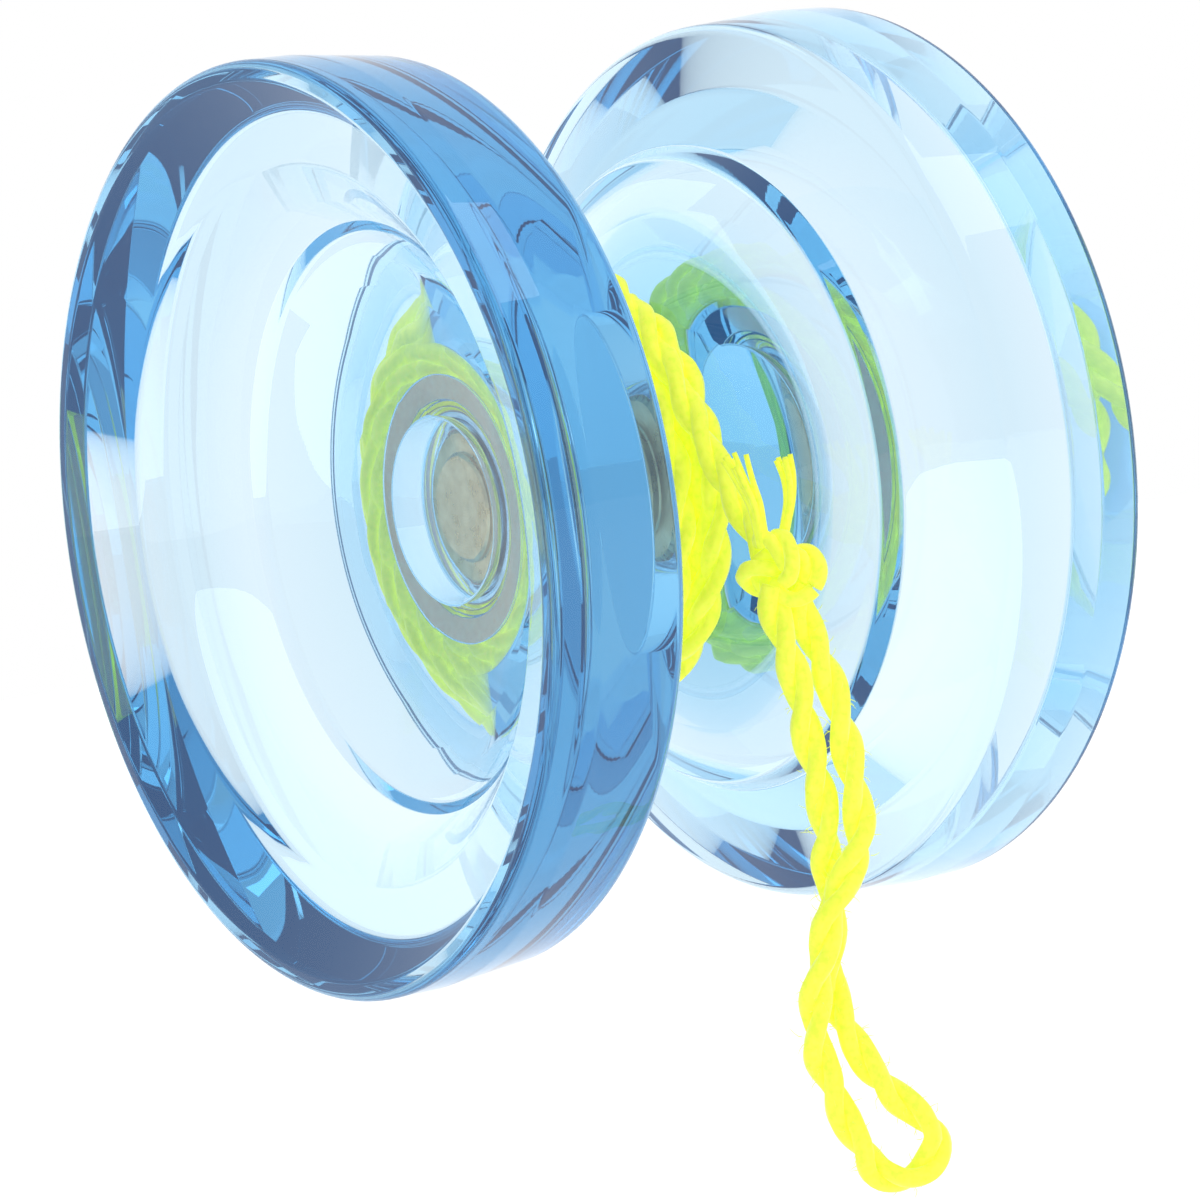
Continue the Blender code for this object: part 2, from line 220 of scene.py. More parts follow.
def silicone():
    """Tan silicone; a faint glow stands for the light that reaches it through the plastic."""
    made = shader_material("moulded_silicone", Roughness=0.55, Subsurface_Weight=0.2,
                           Subsurface_Scale=0.0005, Emission_Strength=0.12)
    shader = made.node_tree.nodes["Principled BSDF"]
    shader.inputs["Emission Color"].default_value = (0.95, 0.50, 0.20, 1.0)
    grain = noise(made, 1800.0)
    colour_between(made, grain.outputs["Fac"], (0.92, 0.60, 0.34), (0.98, 0.72, 0.46))
    bump(made, grain.outputs["Fac"], 0.3, 0.00005)
    return made


def moulded_nylon():
    made = shader_material("moulded_nylon", Roughness=0.5)
    grain = noise(made, 2500.0)
    colour_between(made, grain.outputs["Fac"], (0.62, 0.58, 0.46), (0.78, 0.75, 0.64))
    bump(made, grain.outputs["Fac"], 0.2, 0.00003)
    return made


def polyester_yarn():
    """Fluorescent yellow spun polyester; its dye turns blue light yellow, and a painted glow, the same
    under any lamp, stands in for that.
    """
    made = shader_material("spun_polyester", Roughness=0.75, Sheen_Weight=0.35,
                           Sheen_Roughness=0.4, Subsurface_Weight=0.25, Subsurface_Scale=0.0006,
                           Emission_Strength=0.34)
    fibres = noise(made, 2600.0, 6.0)
    colour_between(made, fibres.outputs["Fac"], (0.60, 0.68, 0.04), (0.82, 0.84, 0.08))
    shader = made.node_tree.nodes["Principled BSDF"]
    # Painted glow: with the emission strength above, the yarn gives off its own yellow light in place
    # of the dye's fluorescence.
    shader.inputs["Emission Color"].default_value = (0.86, 1.0, 0.05, 1.0)
    shader.inputs["Subsurface Radius"].default_value = (1.0, 0.9, 0.2)
    bump(made, fibres.outputs["Fac"], 0.5, 0.0001)
    return made


# ---------------------------------------------------------------- meshes
def rounded(corners, step=6.0):
    """A smooth outline through (radius, height, fillet) corners, a point each step degrees.

    The first and last corners stay sharp. Short guard stretches beside each fillet keep the
    shading of the flats true. A fillet that is too big for its neighbours is made smaller.
    """
    guard = 0.04
    largest_share = 0.48
    points = []
    last = len(corners) - 1
    for index, (r, h, fillet) in enumerate(corners):
        here = np.array([r, h])
        if fillet <= 0 or index in (0, last):
            points.append(here)
            continue
        before = np.array(corners[index - 1][:2]) - here
        after = np.array(corners[index + 1][:2]) - here
        before_length = np.linalg.norm(before)
        after_length = np.linalg.norm(after)
        before /= before_length
        after /= after_length
        opening = math.acos(np.clip(before @ after, -1.0, 1.0))
        turn = math.pi - opening
        reach = fillet * math.tan(turn / 2)
        limit = largest_share * min(before_length, after_length)
        if reach > limit:
            reach = limit
            fillet = reach / math.tan(turn / 2)
        middle = before + after
        centre = here + middle / np.linalg.norm(middle) * (fillet / math.cos(turn / 2))
        start = here + before * reach
        end = here + after * reach
        points.append(start + before * min(guard, before_length - reach))
        count = max(3, round(math.degrees(turn) / step) + 1)
        first = start - centre
        second = end - centre
        for number in range(count):
            share = number / (count - 1)
            arm = (math.sin((1 - share) * turn) * first + math.sin(share * turn) * second)
            points.append(centre + arm / math.sin(turn))
        points.append(end + after * min(guard, after_length - reach))
    return points


def mesh_object(name, verts, faces, finish, smooth_angle=None):
    """A smooth-shaded mesh in metres; edges sharper than smooth_angle degrees stay sharp."""
    mesh = bpy.data.meshes.new(name)
    mesh.from_pydata([tuple(v) for v in verts], [], faces)
    mesh.validate()
    mesh.shade_smooth()
    if smooth_angle is not None:
        mesh.set_sharp_from_angle(angle=math.radians(smooth_angle))
    mesh.materials.append(finish)
    made = bpy.data.objects.new(name, mesh)
    bpy.context.scene.collection.objects.link(made)
    return made


def turned_mesh(name, outline, segments, side, closed, finish, smooth_angle=None):
    """Turns an outline of (radius, height) points round the Y axis; side is 1 for +Y.

    A closed outline joins its last point to its first; an open one runs from pole to pole.
    """
    verts = []
    rings = []
    for r, h in outline:
        if r < 1e-6:
            rings.append([len(verts)])
            verts.append((0.0, side * h * MM, 0.0))
            continue
        rings.append(list(range(len(verts), len(verts) + segments)))
        for index in range(segments):
            angle = TAU * index / segments
            verts.append((r * math.cos(angle) * MM, side * h * MM, r * math.sin(angle) * MM))
    if closed:
        rings.append(rings[0])
    faces = ring_faces(rings, segments, side)
    return mesh_object(name, verts, faces, finish, smooth_angle)


def place(piece, body, slot, *nodes):
    """Puts a piece on its body and hides the CAD nodes that it stands for; slot is not used."""
    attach(piece, body)
    if nodes:
        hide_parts(*nodes)
    return piece


# ---------------------------------------------------------------- body halves
def half_outline():
    """From the middle of the cup, over the lip and rim, along the gap face to the axle pocket."""
    cup = [(0.0, CUP_FLOOR_HEIGHT, 0), (10.5, CUP_FLOOR_HEIGHT, 23.5), (17.8, 14.5, 8.0)]
    lip = [(21.75, 18.6, 1.8), (26.75, HALF_WIDTH, 0.6), (27.95, HALF_WIDTH, 0.6)]
    rim = [(28.0, 18.0, 3.0), (27.5, 12.0, 1.0)]
    flank = [(20.3, 9.3, 0.3), (19.6, 8.0, 1.0), (10.5, GAP_HALF, 2.7)]
    pad_groove = [
        (PAD_OUTER, GAP_HALF, 0.08),
        (PAD_OUTER, GAP_HALF + PAD_DEPTH, 0.08),
        (PAD_INNER, GAP_HALF + PAD_DEPTH, 0.08),
        (PAD_INNER, GAP_HALF, 0.08),
    ]
    pocket = [
        (POCKET_RADIUS, GAP_HALF, 0.08),
        (POCKET_RADIUS, POCKET_HEIGHT, 0.08),
        (INSERT_RADIUS + FIT_GAP, POCKET_HEIGHT, 0.08),
        (INSERT_RADIUS + FIT_GAP, CHAMBER_LOW, 0.05),
        (CHAMBER_RADIUS, CHAMBER_LOW, 0.08),
        (CHAMBER_RADIUS, CHAMBER_HIGH, 0.15),
        (0.0, CHAMBER_HIGH, 0),
    ]
    return rounded(cup + lip + rim + flank + pad_groove + pocket)


def make_halves():
    clear = clear_polycarbonate()
    for name, side in (("left", -1), ("right", 1)):
        half = turned_mesh(f"clear_half_{name}", half_outline(), segments=320, side=side,
                           closed=False, finish=clear)
        place(half, "spool", "clear_blue_polycarbonate", f"half_{name}")


# ---------------------------------------------------------------- hub parts
HUB_FILLET_STEP = 15.0      # degrees between points of the small fillets in the hub


def make_hub_parts():
    rubber = silicone()
    brass = turned_metal("turned_brass", (0.58, 0.36, 0.14), (0.83, 0.60, 0.33), 0.28)
    aluminium = turned_metal("turned_aluminium", (0.62, 0.63, 0.65), (0.80, 0.81, 0.83), 0.3)
    sheet = turned_metal("pressed_steel", (0.60, 0.61, 0.63), (0.80, 0.81, 0.83), 0.22)
    ground = turned_metal("ground_steel", (0.62, 0.63, 0.66), (0.82, 0.83, 0.86), 0.15)
    wire = turned_metal("drawn_wire", (0.45, 0.46, 0.48), (0.62, 0.63, 0.66), 0.25)
    dark = turned_metal("oiled_steel", (0.30, 0.31, 0.33), (0.46, 0.47, 0.50), 0.35)
    for name, side in (("left", -1), ("right", 1)):
        make_pad(name, side, rubber)
        make_insert(name, side, brass)
        make_spacer(name, side, aluminium)
        make_shield(name, side, sheet)
        make_snap_ring(name, side, wire)
    make_bearing(ground)
    make_axle(dark)


def make_pad(name, side, finish):
    inner = PAD_INNER + FIT_GAP
    outer = PAD_OUTER - FIT_GAP
    middle = GAP_HALF + PAD_DEPTH / 2
    face = GAP_HALF + 0.1
    bottom = GAP_HALF + PAD_DEPTH - FIT_GAP
    outline = rounded([
        (inner, middle, 0), (inner, face, 0.15), (outer, face, 0.15), (outer, bottom, 0.1),
        (inner, bottom, 0),
    ], HUB_FILLET_STEP)[::-1]
    pad = turned_mesh(f"silicone_pad_{name}", outline, segments=192, side=side, closed=True,
                      finish=finish, smooth_angle=40)
    place(pad, "spool", "tan_silicone", f"response_pad_{name}")


def make_spacer(name, side, finish):
    flange_low = BEARING_HALF_WIDTH + FIT_GAP
    flange_high = INSERT_LOW - FIT_GAP
    middle = 1.5
    outline = rounded([
        (AXLE_BORE, middle, 0), (AXLE_BORE, flange_high, 0.1), (SPACER_FLANGE, flange_high, 0.12),
        (SPACER_FLANGE, flange_low, 0.1), (SPACER_POST, flange_low, 0.1),
        (SPACER_POST, SPACER_LOW, 0.2), (AXLE_BORE, SPACER_LOW, 0),
    ], HUB_FILLET_STEP)
    spacer = turned_mesh(f"flanged_spacer_{name}", outline, segments=128, side=side, closed=True,
                         finish=finish, smooth_angle=40)
    place(spacer, "spool", "aluminium", f"spacer_{name}")


def make_shield(name, side, finish):
    inner = INNER_LAND + 0.15
    outer = SHIELD_SEAT - FIT_GAP
    middle = (SHIELD_LOW + SHIELD_HIGH) / 2
    outline = rounded([
        (inner, middle, 0), (inner, SHIELD_HIGH, 0.03), (outer, SHIELD_HIGH, 0.05),
        (outer, SHIELD_LOW, 0.05), (inner, SHIELD_LOW, 0),
    ], HUB_FILLET_STEP)
    shield = turned_mesh(f"pressed_shield_{name}", outline, segments=160, side=side, closed=True,
                         finish=finish, smooth_angle=40)
    place(shield, "string_side", "shield_steel", f"bearing_shield_{name}")


def make_axle(finish):
    """Threaded stud: an M4 thread of 0.7 mm pitch, with plain chamfered ends."""
    pitch = 0.7
    depth = 0.36
    flank_slope = 1.15          # over 1 leaves a narrow flat root
    around = 48
    steps = 184
    verts = []
    for step in range(steps + 1):
        height = AXLE_HALF * (2 * step / steps - 1)
        from_end = AXLE_HALF - abs(height)
        for index in range(around):
            phase = (height / pitch - index / around) % 1.0
            flank = abs(2 * phase - 1)
            r = AXLE_RADIUS - depth * min(1.0, flank_slope * flank)
            r = min(r, AXLE_RADIUS - depth + from_end)
            angle = TAU * index / around
            verts.append((r * math.cos(angle) * MM, height * MM, r * math.sin(angle) * MM))
    faces = grid_faces(steps, around)
    faces.append(tuple(range(around)))
    faces.append(tuple(reversed(range(steps * around, (steps + 1) * around))))
    axle = mesh_object("threaded_axle", verts, faces, finish, smooth_angle=35)
    place(axle, "spool", "dark_steel", "axle")


def grid_faces(rows, columns):
    """Faces of a closed tube from rows + 1 rings of points."""
    faces = []
    for row in range(rows):
        for index in range(columns):
            after = (index + 1) % columns
            here = row * columns
            there = here + columns
            faces.append((here + after, here + index, there + index, there + after))
    return faces


def make_insert(name, side, finish):
    """Brass insert with a straight knurl, a low boss on its outer end and a blind bore.

    Its outline is (radius, height, depth of the knurl's grooves there).
    """
    count = 288
    per_ridge = 6
    knurl = 0.2
    boss_chamfer = 0.25
    boss_foot = 0.1
    end_width = 0.3
    end_height = 0.2
    levels = [
        (0.0, BOSS_HIGH, 0),
        (BOSS_RADIUS - boss_chamfer, BOSS_HIGH, 0),
        (BOSS_RADIUS, BOSS_HIGH - boss_chamfer, 0),
        (BOSS_RADIUS, INSERT_HIGH + boss_foot, 0),
        (BOSS_RADIUS + boss_foot, INSERT_HIGH, 0),
        (INSERT_RADIUS - end_width, INSERT_HIGH, 0),
        (INSERT_RADIUS, INSERT_HIGH - end_height, knurl),
        (INSERT_RADIUS, INSERT_LOW + end_height, knurl),
        (INSERT_RADIUS - end_width, INSERT_LOW, 0),
        (AXLE_BORE, INSERT_LOW, 0),
        (AXLE_BORE, BORE_END, 0),
        (0.0, BORE_END, 0),
    ]
    verts = []
    rings = []
    for radius, height, ridge in levels:
        if radius == 0:
            rings.append([len(verts)])
            verts.append((0.0, side * height * MM, 0.0))
            continue
        rings.append(list(range(len(verts), len(verts) + count)))
        for index in range(count):
            angle = TAU * index / count
            groove = abs(2 * (index % per_ridge) / per_ridge - 1)
            r = (radius - ridge * (1 - groove)) * MM
            verts.append((r * math.cos(angle), side * height * MM, r * math.sin(angle)))
    faces = ring_faces(rings, count, side)
    insert = mesh_object(f"knurled_insert_{name}", verts, faces, finish, smooth_angle=25)
    place(insert, "spool", "brass", f"insert_{name}")


def ring_faces(rings, count, side):
    """Faces between neighbouring rings of points; a ring of one point closes a pole."""
    faces = []
    for first, second in zip(rings, rings[1:]):
        for index in range(count):
            after = (index + 1) % count
            loop = [first[index % len(first)], first[after % len(first)],
                    second[after % len(second)], second[index % len(second)]]
            face = list(dict.fromkeys(loop))
            faces.append(face if side > 0 else face[::-1])
    return faces


def make_snap_ring(name, side, finish):
    """Open round-wire ring that springs into the seat over the shield."""
    wire = 0.11
    height = 2.1
    opening = math.radians(24)
    radius = SHIELD_SEAT - FIT_GAP - wire
    steps = 120
    path = []
    for index in range(steps + 1):
        angle = opening / 2 + (TAU - opening) * index / steps
        path.append((radius * math.cos(angle), side * height, radius * math.sin(angle)))
    ring = tube_mesh(f"retaining_wire_{name}", np.array(path), wire, sides_count=10,
                     finish=finish)
    place(ring, "string_side", "spring_steel", f"snap_ring_{name}")


def race_groove(land, outward):
    """Points across a ball groove between its two lands; outward is 1 for the outer ring."""
    half_angle = math.acos(abs(land - BALL_PITCH) / RACE_GROOVE)
    half_count = 8
    points = []
    for number in range(2 * half_count + 1):
        angle = (number / half_count - 1) * half_angle
        points.append((BALL_PITCH + outward * RACE_GROOVE * math.cos(angle),
                       outward * RACE_GROOVE * math.sin(angle), 0))
    return points


def make_bearing(steel):
    inner = rounded([
        (BEARING_BORE, 0.0, 0), (BEARING_BORE, BEARING_HALF_WIDTH, 0.2),
        (INNER_LAND, BEARING_HALF_WIDTH, 0.08), *race_groove(INNER_LAND, -1),
        (INNER_LAND, -BEARING_HALF_WIDTH, 0.08), (BEARING_BORE, -BEARING_HALF_WIDTH, 0),
    ], HUB_FILLET_STEP)
    seat = 1.7
    seat_middle = 2.0
    outer = rounded([
        (SHIELD_SEAT, seat_middle, 0), (SHIELD_SEAT, BEARING_HALF_WIDTH, 0.05),
        (BEARING_OUTER, BEARING_HALF_WIDTH, 0.3), (BEARING_OUTER, -BEARING_HALF_WIDTH, 0.3),
        (SHIELD_SEAT, -BEARING_HALF_WIDTH, 0.05), (SHIELD_SEAT, -seat, 0.03),
        (OUTER_LAND, -seat, 0.03), *race_groove(OUTER_LAND, 1), (OUTER_LAND, seat, 0.03),
        (SHIELD_SEAT, seat, 0),
    ], HUB_FILLET_STEP)
    for name, outline, body in (("inner", inner, "spool"), ("outer", outer, "string_side")):
        ring = turned_mesh(f"ground_{name}_ring", outline, segments=160, side=1, closed=True,
                           finish=steel, smooth_angle=35)
        place(ring, body, "bearing_steel", f"bearing_{name}_ring")
    cage = mesh_copy("moulded_cage", "bearing_cage", moulded_nylon())
    place(cage, "cage", "cage_polyamide", "bearing_cage")
    for index in range(BALL_COUNT):
        name = f"bearing_ball_{index + 1}"
        low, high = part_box(name)
        ball = ball_mesh(f"polished_ball_{index + 1}", (low + high) / 2, steel)
        place(ball, f"ball_{index + 1}", "bearing_steel", name)


def mesh_copy(name, node, finish):
    """A copy of a CAD node whose shape is already right, with its edges eased for light."""
    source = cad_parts[node]
    made = bpy.data.objects.new(name, source.data.copy())
    made.matrix_world = source.matrix_world
    made.data.materials.clear()
    made.data.materials.append(finish)
    bpy.context.scene.collection.objects.link(made)
    edge = made.modifiers.new("Eased", "BEVEL")
    edge.width = 0.05 * MM
    edge.segments = 2
    edge.limit_method = "ANGLE"
    return made


def ball_mesh(name, centre, finish):
    bands = 20
    outline = [(0.0, BALL_RADIUS)]
    for band in range(1, bands):
        angle = math.pi * band / bands
        outline.append((BALL_RADIUS * math.sin(angle), BALL_RADIUS * math.cos(angle)))
    outline.append((0.0, -BALL_RADIUS))
    ball = turned_mesh(name, outline, segments=32, side=1, closed=False, finish=finish)
    for vertex in ball.data.vertices:
        vertex.co += centre
    return ball


# ---------------------------------------------------------------- string
def smooth_path(points, spacing):
    """A Catmull-Rom curve through the points, resampled at an even spacing, as an array."""
    route = np.array(points, float)
    padded = np.vstack([2 * route[0] - route[1], route, 2 * route[-1] - route[-2]])
    samples = 24
    fine = []
    for index in range(1, len(padded) - 2):
        p0, p1, p2, p3 = padded[index - 1:index + 3]
        for t in np.linspace(0, 1, samples, endpoint=False):
            fine.append(0.5 * (2 * p1 + (p2 - p0) * t + (2 * p0 - 5 * p1 + 4 * p2 - p3) * t ** 2
                               + (3 * p1 - p0 - 3 * p2 + p3) * t ** 3))
    fine.append(route[-1])
    return resample(np.array(fine), spacing)


def resample(path, spacing):
    """The same path with its points at an even spacing, as near as a whole count allows."""
    steps = np.linalg.norm(np.diff(path, axis=0), axis=1)
    along = np.concatenate([[0.0], np.cumsum(steps)])
    count = max(2, round(along[-1] / spacing) + 1)
    even = np.linspace(0, along[-1], count)
    return np.stack([np.interp(even, along, path[:, k]) for k in range(3)], axis=1)


def path_length(path):
    return float(np.linalg.norm(np.diff(path, axis=0), axis=1).sum())


def carried_frames(path):
    """Tangent and two side directions at each point, carried along with the least twist."""
    tangents = np.gradient(path, axis=0)
    tangents /= np.linalg.norm(tangents, axis=1)[:, None]
    side = np.cross(tangents[0], Y_AXIS)
    if np.linalg.norm(side) < 1e-3:
        side = np.cross(tangents[0], [1.0, 0.0, 0.0])
    sides = []
    for tangent in tangents:
        side = side - tangent * (side @ tangent)
        side = side / np.linalg.norm(side)
        sides.append(side)
    sides = np.array(sides)
    return tangents, sides, np.cross(tangents, sides)


def tube_mesh(name, path, radius, sides_count, finish):
    """A round tube along a path in millimetres, with closed ends."""
    builder = TubeBuilder()
    builder.add(path, np.full(len(path), radius), sides_count)
    return builder.build(name, finish)


class TubeBuilder:
    """Collects tubes and makes them into one mesh."""

    def __init__(self):
        self.verts = []
        self.faces = []

    def add(self, path, radii, sides_count, ripple=None):
        """A tube with a radius for each point; ripple(index, angle) scales it round the tube."""
        _, first, second = carried_frames(path)
        start = len(self.verts)
        for index, centre in enumerate(path):
            for corner in range(sides_count):
                angle = TAU * corner / sides_count
                radius = radii[index]
                if ripple is not None:
                    radius = radius * ripple(index, angle)
                arm = first[index] * math.cos(angle) + second[index] * math.sin(angle)
                self.verts.append((centre + arm * radius) * MM)
        for index in range(len(path) - 1):
            for corner in range(sides_count):
                after = (corner + 1) % sides_count
                here = start + index * sides_count
                there = here + sides_count
                self.faces.append((here + corner, here + after, there + after, there + corner))
        self.faces.append(tuple(start + c for c in reversed(range(sides_count))))
        last = start + (len(path) - 1) * sides_count
        self.faces.append(tuple(last + c for c in range(sides_count)))

    def build(self, name, finish):
        return mesh_object(name, self.verts, self.faces, finish)


PLY_PITCH = 7.6             # one full turn of the two plies round each other
PLY_OFFSET = 0.235          # middle of a ply from the middle of the string, in its diameters
PLY_RADIUS = 0.285          # in diameters of the string
PLY_SWELL = 0.05            # share by which a ply grows thicker and thinner along its length
SWELL_RATE = 1.7            # radians of that swelling per millimetre
FIBRE_RIDGES = 5            # yarn ridges seen round one ply
RIDGE_HEIGHT = 0.07         # as a share of the ply's radius
RIDGE_SLANT = 2.2           # turns of the ridges for each turn of the plies


def add_twisted(builder, path, diameter, sides_count, phase=0.0):
    """Two plies twisted round a path; each ply has its own slanting yarn ridges."""
    spacing = path_length(path) / (len(path) - 1)
    _, first, second = carried_frames(path)
    numbers = np.arange(len(path))
    twist = phase + TAU * spacing / PLY_PITCH * numbers

    def ripple(index, angle):
        return 1 + RIDGE_HEIGHT * math.cos(FIBRE_RIDGES * angle - RIDGE_SLANT * twist[index])

    for ply in range(2):
        angle = twist + math.pi * ply
        arm = first * np.cos(angle)[:, None] + second * np.sin(angle)[:, None]
        line = path + arm * diameter * PLY_OFFSET
        swell = 1 + PLY_SWELL * np.sin(numbers * spacing * SWELL_RATE + ply)
        builder.add(line, diameter * PLY_RADIUS * swell, sides_count, ripple)


WINDING_TURNS = 11
WINDING_FIRST_RADIUS = 7.35
WINDING_LAST_RADIUS = 12.95
WINDING_OFFSET = 0.96       # the two turns of a layer lie this far either side of the middle
WOUND_SQUEEZE = 0.94        # thickness of the wound string as a share of the free string's
LEAVE_ANGLE = math.radians(35)

# The lead leaves the winding's outer layer and runs down to the knot.
LEAD_ROUTE = [
    (12.0, 0.0, 5.6), (13.1, 0.0, 3.4), (14.2, 0.0, 1.4), (15.3, -0.05, -0.5), (16.5, -0.1, -2.2),
    (17.7, -0.2, -3.9), (18.6, -0.3, -5.2),
]
# The finger loop: down one strand, round the bottom and back up the other.
LOOP_ROUTE = [
    (20.1, -1.2, -6.9), (20.2, -1.3, -8.9), (20.4, -0.95, -11.2), (20.3, -0.55, -13.6),
    (20.15, -0.3, -16.0), (20.05, 0.05, -18.6), (20.05, 0.1, -21.0), (19.55, 0.2, -23.2),
    (19.25, 0.3, -25.6), (19.05, 0.0, -27.8), (18.9, -0.25, -30.2), (19.1, -0.2, -32.0),
    (19.8, 0.05, -33.8), (20.5, 0.5, -35.6), (21.2, 1.4, -37.3), (21.95, 2.45, -38.7),
    (22.35, 3.05, -40.1), (22.0, 2.5, -41.6), (21.2, 1.25, -42.2), (20.4, 0.0, -41.6),
    (20.05, -0.55, -40.1), (19.6, -1.2, -38.3), (19.3, -1.6, -36.2), (19.15, -2.05, -34.2),
    (19.5, -2.25, -32.2), (20.0, -2.15, -30.2), (20.4, -1.7, -28.6), (20.8, -1.25, -26.6),
    (21.35, -0.25, -24.6), (21.75, 0.9, -22.8), (21.65, 1.45, -20.9), (21.55, 1.45, -18.7),
    (21.25, 1.5, -16.0), (20.9, 1.4, -13.2), (20.2, 1.15, -10.6), (20.0, 0.75, -8.9),
    (20.0, 0.65, -6.9),
]
KNOT_CENTRE = (20.0, -0.35, -6.1)
TAIL_ROUTES = [
    [(20.0, -1.3, -4.6), (20.2, -1.5, -3.4), (20.2, -1.6, -2.1), (19.9, -1.8, -0.8),
     (19.5, -2.0, 0.8)],
    [(20.3, -0.2, -4.6), (20.6, 0.1, -3.4), (20.9, 0.4, -2.1), (21.0, 0.5, -0.8),
     (20.9, 0.4, 0.6)],
]


def ease(value):
    """A smooth step from 0 to 1 as value goes from 0 to 1, and level beyond."""
    return 0.5 - 0.5 * math.cos(math.pi * min(1.0, max(0.0, value)))


def winding_path():
    """The winding: layers of two turns each on the bearing, ending where the lead leaves.

    Halfway through a layer the string crosses to the other side, and at its end it climbs.
    """
    steps = 72
    cross_from = 0.44
    cross_share = 0.12
    climb_from = 0.94
    climb_share = 0.06
    last_layer = (WINDING_TURNS - 1) / 2
    growth = WINDING_LAST_RADIUS - WINDING_FIRST_RADIUS
    path = []
    for index in range(WINDING_TURNS * steps + 1):
        turn = index / steps
        layer = math.floor(turn / 2)
        share = turn / 2 - layer
        side = 1 if layer % 2 == 0 else -1
        across = side * (2 * ease((share - cross_from) / cross_share) - 1)
        climbed = min(layer + ease((share - climb_from) / climb_share), last_layer)
        r = WINDING_FIRST_RADIUS + growth * (climbed / last_layer)
        angle = LEAVE_ANGLE + TAU * (WINDING_TURNS - turn)
        path.append((r * math.cos(angle), across * WINDING_OFFSET, r * math.sin(angle)))
    return np.array(path)


def make_string():
    yarn = polyester_yarn()
    winding = winding_path()
    lead = smooth_path(LEAD_ROUTE, 0.3)
    whole = resample(np.vstack([winding, lead]), 0.35)
    builder = TubeBuilder()
    add_twisted(builder, whole, STRING_DIAMETER * WOUND_SQUEEZE, sides_count=8)
    wound = builder.build("wound_string", yarn)
    place(wound, "string_side", "yellow_polyester", "string_coil", "string_lead")

    knot = make_knot(yarn)
    tails = make_tails(yarn)

    loop_path = smooth_path(LOOP_ROUTE, 0.25)
    builder = TubeBuilder()
    add_twisted(builder, loop_path, STRING_DIAMETER, sides_count=12, phase=0.8)
    add_fuzz(builder, loop_path, count=260, seed=21)
    loop = builder.build("finger_loop_string", yarn)
    place(loop, "string_side", "yellow_polyester", "finger_loop")


def add_fuzz(builder, path, count, seed):
    """Loose fibre ends that stand off the yarn and curl over."""
    draw = random.Random(seed)
    root_depth = STRING_DIAMETER * 0.42
    shares = (0.0, 0.35, 0.7, 1.0)
    radii = np.array([0.028, 0.024, 0.02, 0.012])
    tangents, first, second = carried_frames(path)
    for _ in range(count):
        index = draw.randrange(len(path))
        angle = draw.uniform(0, TAU)
        out = first[index] * math.cos(angle) + second[index] * math.sin(angle)
        lean = tangents[index] * draw.uniform(-1.0, 1.0)
        length = draw.uniform(0.25, 0.7)
        root = path[index] + out * root_depth
        hair = [root + (out * t + lean * t * t) * length for t in shares]
        builder.add(np.array(hair), radii, sides_count=3)


def make_knot(yarn):
    """An overhand knot pulled tight: a trefoil of the same twisted string."""
    steps = 200
    middle_radius = 1.3
    sway = 0.7
    rise = 0.8
    diameter = 1.65
    path = []
    for index in range(steps):
        t = TAU * index / steps
        ring = middle_radius + sway * math.cos(3 * t)
        path.append((ring * math.cos(2 * t), rise * math.sin(3 * t), ring * math.sin(2 * t)))
    tilt = Matrix.Rotation(math.radians(35), 3, "Y") @ Matrix.Rotation(math.radians(25), 3, "Z")
    turned = np.array(path) @ np.array(tilt).T + np.array(KNOT_CENTRE)
    builder = TubeBuilder()
    add_twisted(builder, turned, diameter, sides_count=12)
    knot = builder.build("overhand_knot", yarn)
    place(knot, "string_side", "yellow_polyester", "string_knot")
    return knot


def make_tails(yarn):
    """The two cut ends, their yarns opening out like small brushes."""
    draw = random.Random(7)
    yarn_count = 9
    root_spread = 0.22
    tip_spread = 0.6
    root_radius = 0.24
    tip_radius = 0.16
    tails = []
    for number, route in enumerate(TAIL_ROUTES):
        builder = TubeBuilder()
        stem = smooth_path(route, 0.15)
        share = np.linspace(0, 1, len(stem))[:, None]
        opening = root_spread + tip_spread * share ** 2
        for _ in range(yarn_count):
            lean = [draw.uniform(-1, 1), draw.uniform(-1, 1), draw.uniform(-0.3, 0.3)]
            shortened = draw.randrange(0, 5)
            line = (stem + np.array(lean) * opening)[:len(stem) - shortened]
            radii = np.linspace(root_radius, tip_radius, len(line))
            builder.add(line, radii, sides_count=7)
        tail = builder.build(f"frayed_end_{number + 1}", yarn)
        place(tail, "string_side", "yellow_polyester", f"string_tail_{number + 1}")
        tails.append(tail)
    return tails


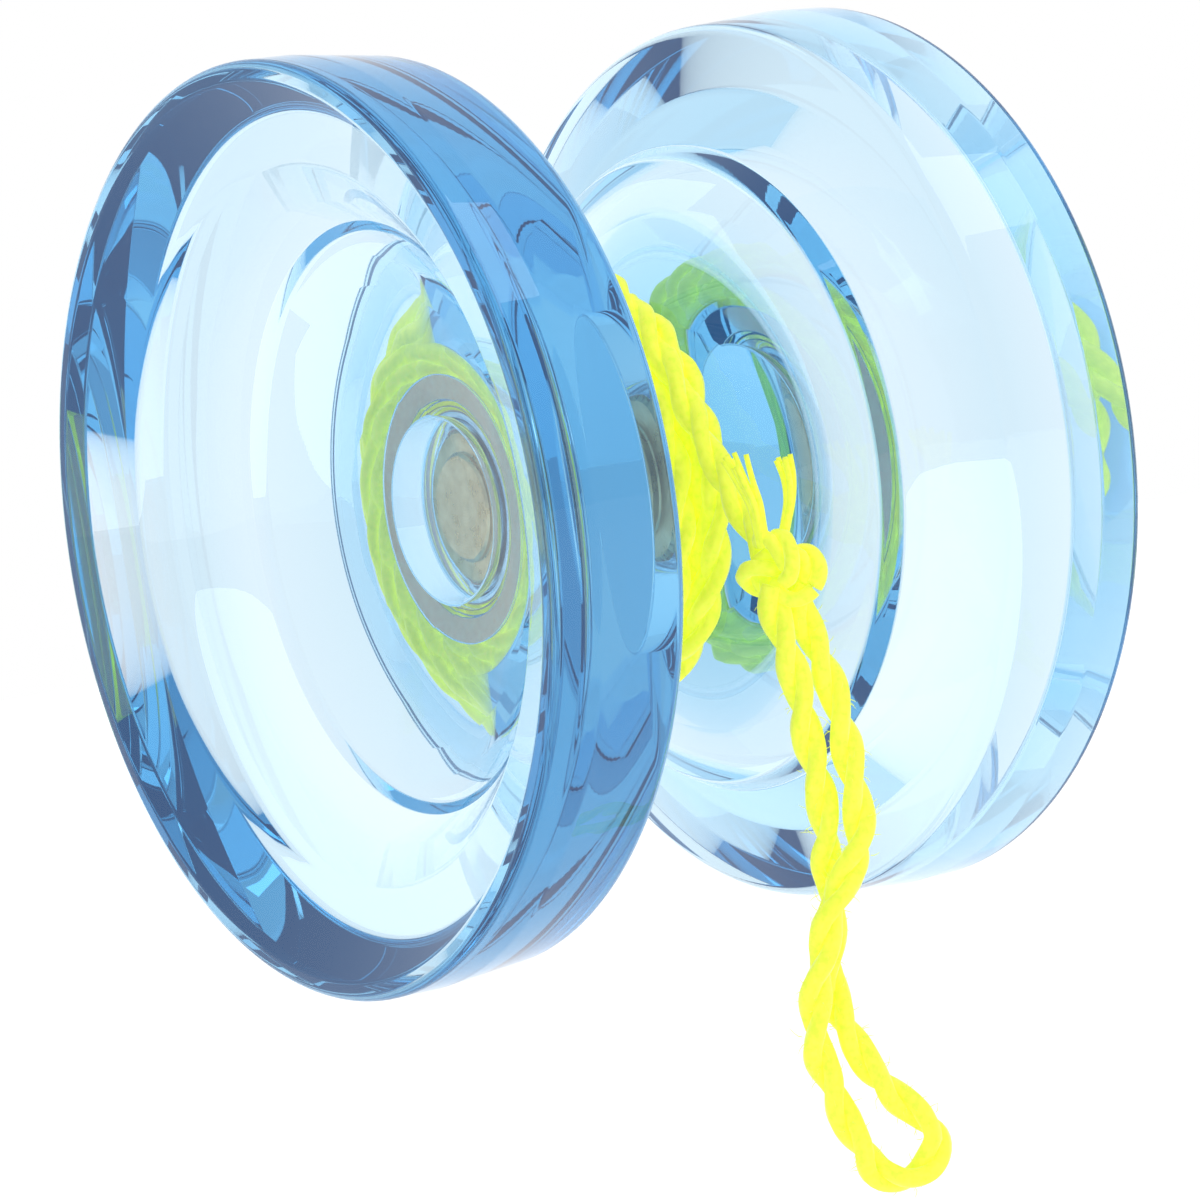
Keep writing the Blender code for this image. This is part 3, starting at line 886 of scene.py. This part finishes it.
# ---------------------------------------------------------------- studio
def make_studio(back, level):
    """A white floor under a light tent, with one soft lamp above the camera's right."""
    floor_drop = 0.075
    half = 1.5
    white = bpy.data.materials.new("studio_white")
    white.use_nodes = True
    shader = white.node_tree.nodes["Principled BSDF"]
    shader.inputs["Base Color"].default_value = (1.0, 1.0, 1.0, 1.0)
    shader.inputs["Roughness"].default_value = 1.0
    shader.inputs["Specular IOR Level"].default_value = 0.0
    shader.inputs["Emission Color"].default_value = (1.0, 1.0, 1.0, 1.0)
    shader.inputs["Emission Strength"].default_value = 0.2
    corners = [(-half, -half, -floor_drop), (half, -half, -floor_drop),
               (half, half, -floor_drop), (-half, half, -floor_drop)]
    floor = mesh_object("floor", corners, [(0, 1, 2, 3)], white)

    world = bpy.data.worlds.new("studio")
    world.use_nodes = True
    bpy.context.scene.world = world
    light_tent(world, back)

    up = Vector((0.0, 0.0, 1.0))
    above_right = level * 0.30 + up * 0.50 + back * 0.20
    soft_box("key", above_right, width=0.50, height=0.30, power=0.6)


def light_tent(world, back):
    """White all round, a little darker on the camera's side where the photographer stands."""
    nodes = world.node_tree.nodes
    links = world.node_tree.links
    nodes["Background"].inputs["Color"].default_value = (1.0, 1.0, 1.0, 1.0)
    direction = nodes.new("ShaderNodeTexCoord")
    toward = nodes.new("ShaderNodeVectorMath")
    toward.operation = "DOT_PRODUCT"
    toward.inputs[1].default_value = back
    shade = nodes.new("ShaderNodeMapRange")
    shade.interpolation_type = "SMOOTHSTEP"
    shade.inputs["From Min"].default_value = 0.1
    shade.inputs["From Max"].default_value = 0.95
    shade.inputs["To Min"].default_value = 1.0
    shade.inputs["To Max"].default_value = 0.7
    links.new(direction.outputs["Generated"], toward.inputs[0])
    links.new(toward.outputs["Value"], shade.inputs["Value"])
    links.new(shade.outputs["Result"], nodes["Background"].inputs["Strength"])


def soft_box(name, where, width, height, power):
    """A rectangular lamp that faces the origin."""
    data = bpy.data.lights.new(name, "AREA")
    data.shape = "RECTANGLE"
    data.size = width
    data.size_y = height
    data.energy = power
    lamp = bpy.data.objects.new(name, data)
    bpy.context.scene.collection.objects.link(lamp)
    lamp.location = where
    lamp.rotation_euler = (-Vector(where)).to_track_quat("-Z", "Y").to_euler()


def set_view():
    """Light bounces many times in the clear plastic before it leaves."""
    scene = bpy.context.scene
    scene.view_settings.view_transform = "Standard"
    scene.cycles.max_bounces = 40
    scene.cycles.transmission_bounces = 40
    scene.cycles.transparent_max_bounces = 16


camera_back, camera_level = make_camera()
make_string()
make_halves()
make_hub_parts()
make_studio(camera_back, camera_level)
set_view()
